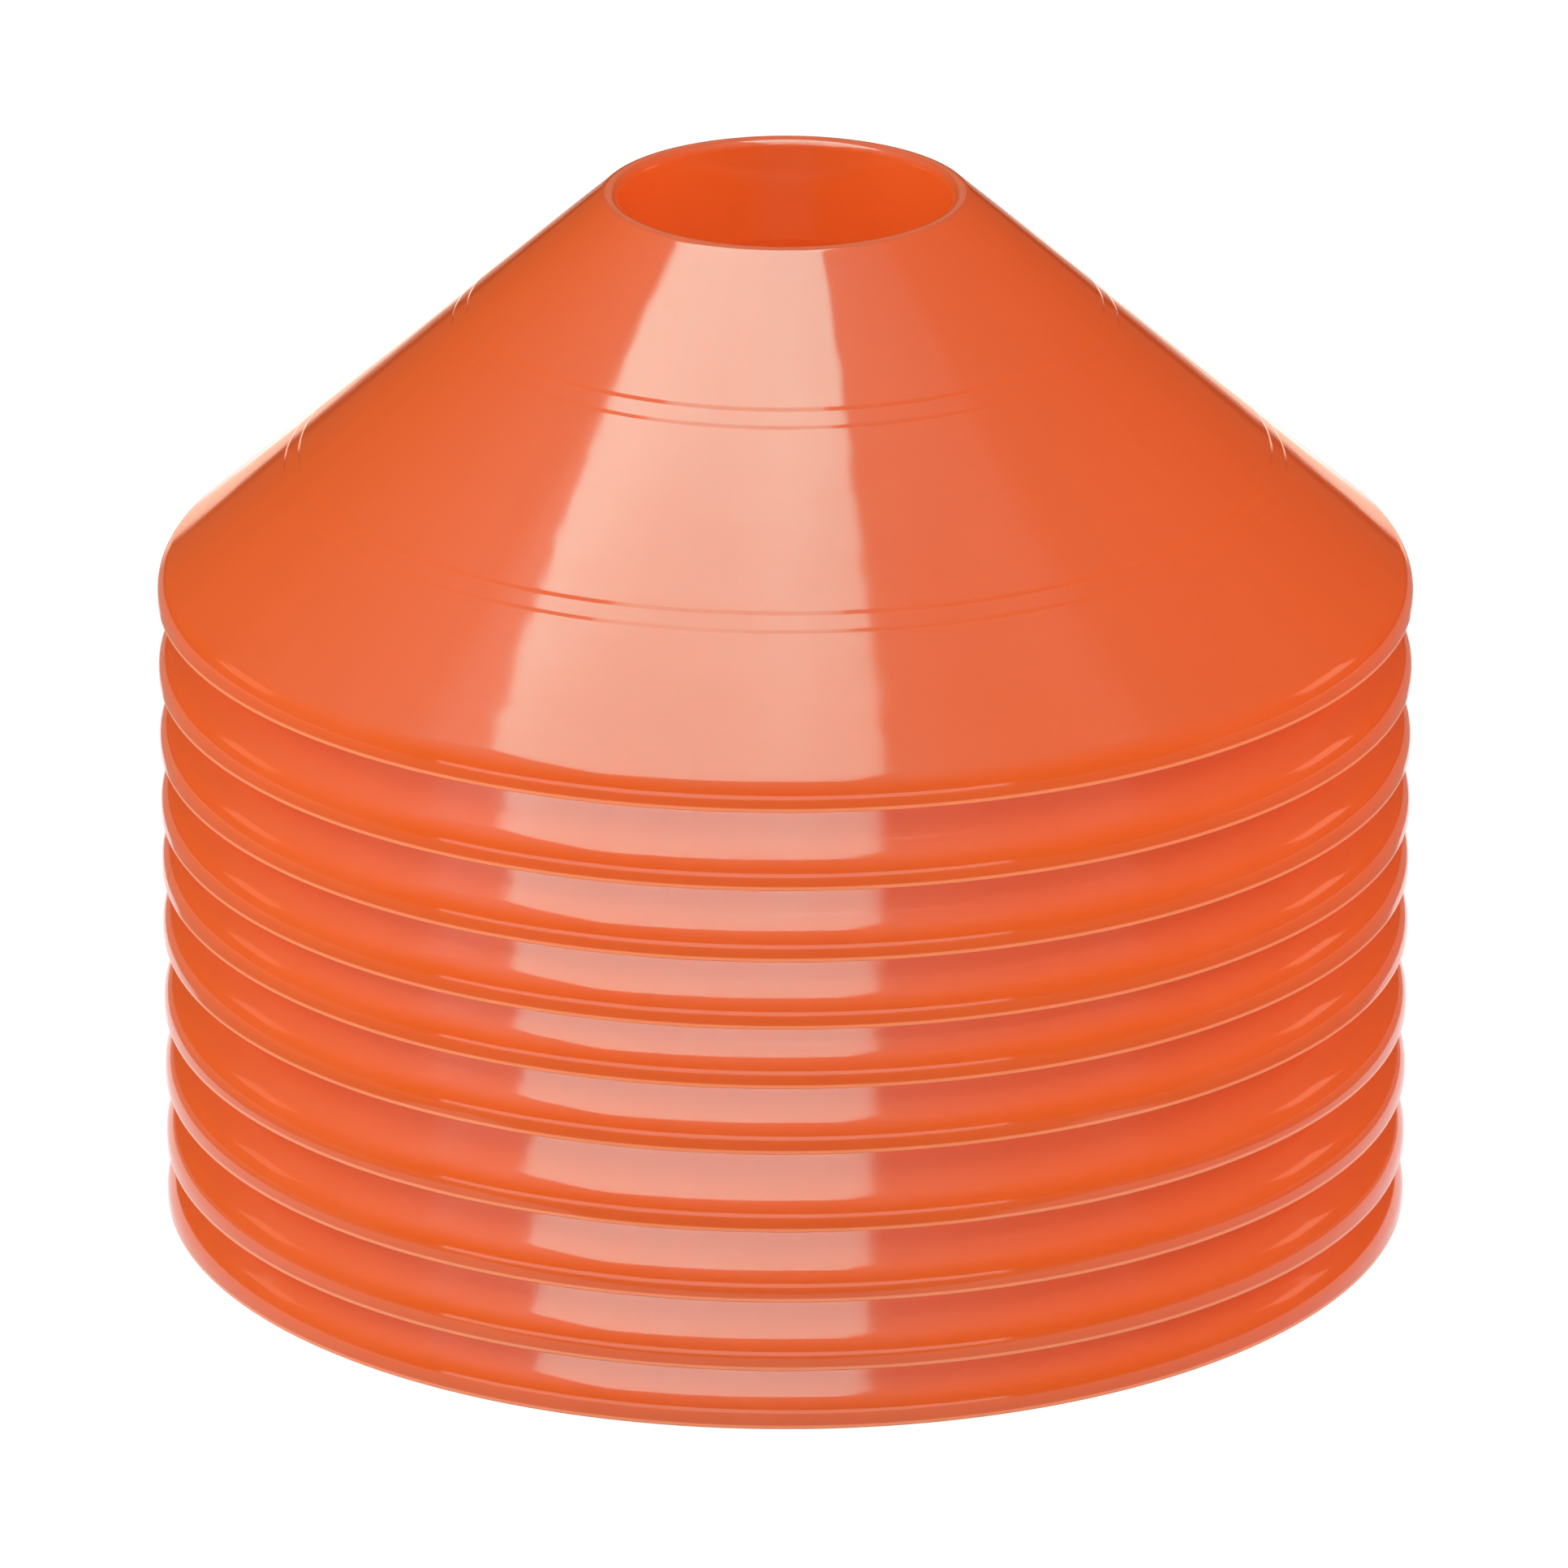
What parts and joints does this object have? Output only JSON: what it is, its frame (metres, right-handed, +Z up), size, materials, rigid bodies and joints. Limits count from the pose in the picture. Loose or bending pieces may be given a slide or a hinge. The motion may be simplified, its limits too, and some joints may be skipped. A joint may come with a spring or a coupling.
{
  "type": "sports marker cone stack",
  "caption": "Nested stack of low, round plastic marker cones for sports fields, each a thin saucer with a central opening, rounded rim and shallow steps; each lifts off the one below.",
  "frame": {"origin": "centre of the ring on which the bottom cone stands", "axes": "+Z up along the axis of the stack; the cones are round, so X and Y are alike"},
  "size_m": [0.19, 0.19, 0.1606],
  "materials": {
    "orange_plastic": "glossy moulded soft plastic, fluorescent orange"
  },
  "bodies": {
    "cone_01": {"cone_01": "orange_plastic"},
    "cone_02": {"cone_02": "orange_plastic"},
    "cone_03": {"cone_03": "orange_plastic"},
    "cone_04": {"cone_04": "orange_plastic"},
    "cone_05": {"cone_05": "orange_plastic"},
    "cone_06": {"cone_06": "orange_plastic"},
    "cone_07": {"cone_07": "orange_plastic"},
    "cone_08": {"cone_08": "orange_plastic"},
    "cone_09": {"cone_09": "orange_plastic"},
    "cone_10": {"cone_10": "orange_plastic"}
  },
  "joints": [
    {"name": "cone_02_lift", "type": "slide", "parent": "cone_01", "child": "cone_02", "axis": [0, 0, 1], "range_m": [0, 0.07]},
    {"name": "cone_03_lift", "type": "slide", "parent": "cone_02", "child": "cone_03", "axis": [0, 0, 1], "range_m": [0, 0.07]},
    {"name": "cone_04_lift", "type": "slide", "parent": "cone_03", "child": "cone_04", "axis": [0, 0, 1], "range_m": [0, 0.07]},
    {"name": "cone_05_lift", "type": "slide", "parent": "cone_04", "child": "cone_05", "axis": [0, 0, 1], "range_m": [0, 0.07]},
    {"name": "cone_06_lift", "type": "slide", "parent": "cone_05", "child": "cone_06", "axis": [0, 0, 1], "range_m": [0, 0.07]},
    {"name": "cone_07_lift", "type": "slide", "parent": "cone_06", "child": "cone_07", "axis": [0, 0, 1], "range_m": [0, 0.07]},
    {"name": "cone_08_lift", "type": "slide", "parent": "cone_07", "child": "cone_08", "axis": [0, 0, 1], "range_m": [0, 0.07]},
    {"name": "cone_09_lift", "type": "slide", "parent": "cone_08", "child": "cone_09", "axis": [0, 0, 1], "range_m": [0, 0.07]},
    {"name": "cone_10_lift", "type": "slide", "parent": "cone_09", "child": "cone_10", "axis": [0, 0, 1], "range_m": [0, 0.07]}
  ]
}
